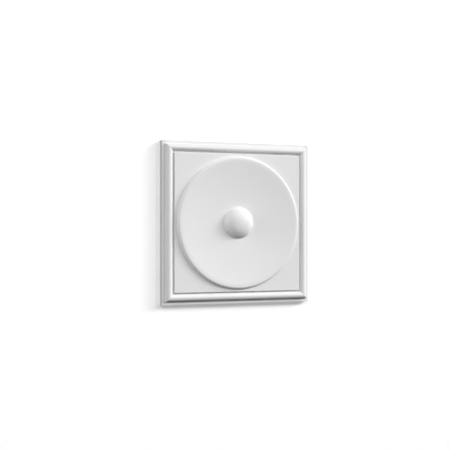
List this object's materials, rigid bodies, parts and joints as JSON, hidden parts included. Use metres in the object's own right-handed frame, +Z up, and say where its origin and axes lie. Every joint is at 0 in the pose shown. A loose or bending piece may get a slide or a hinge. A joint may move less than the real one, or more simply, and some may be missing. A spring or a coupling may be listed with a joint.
{
  "type": "wall relief panel",
  "caption": "Square cast wall panel with a mitred half-round bead frame, a raised field and a dished round rosette with a domed boss, for gluing flat to a wall.",
  "frame": {"origin": "middle of the flat back, where the panel meets the wall", "axes": "+Z up as the panel hangs, -Y out of the wall towards the viewer, +X to the viewer's right"},
  "size_m": [0.3, 0.0322, 0.3],
  "materials": {
    "painted_casting": "white primed and painted rigid polyurethane casting, smooth, satin"
  },
  "bodies": {
    "root": {"relief_panel": "painted_casting"}
  },
  "joints": []
}
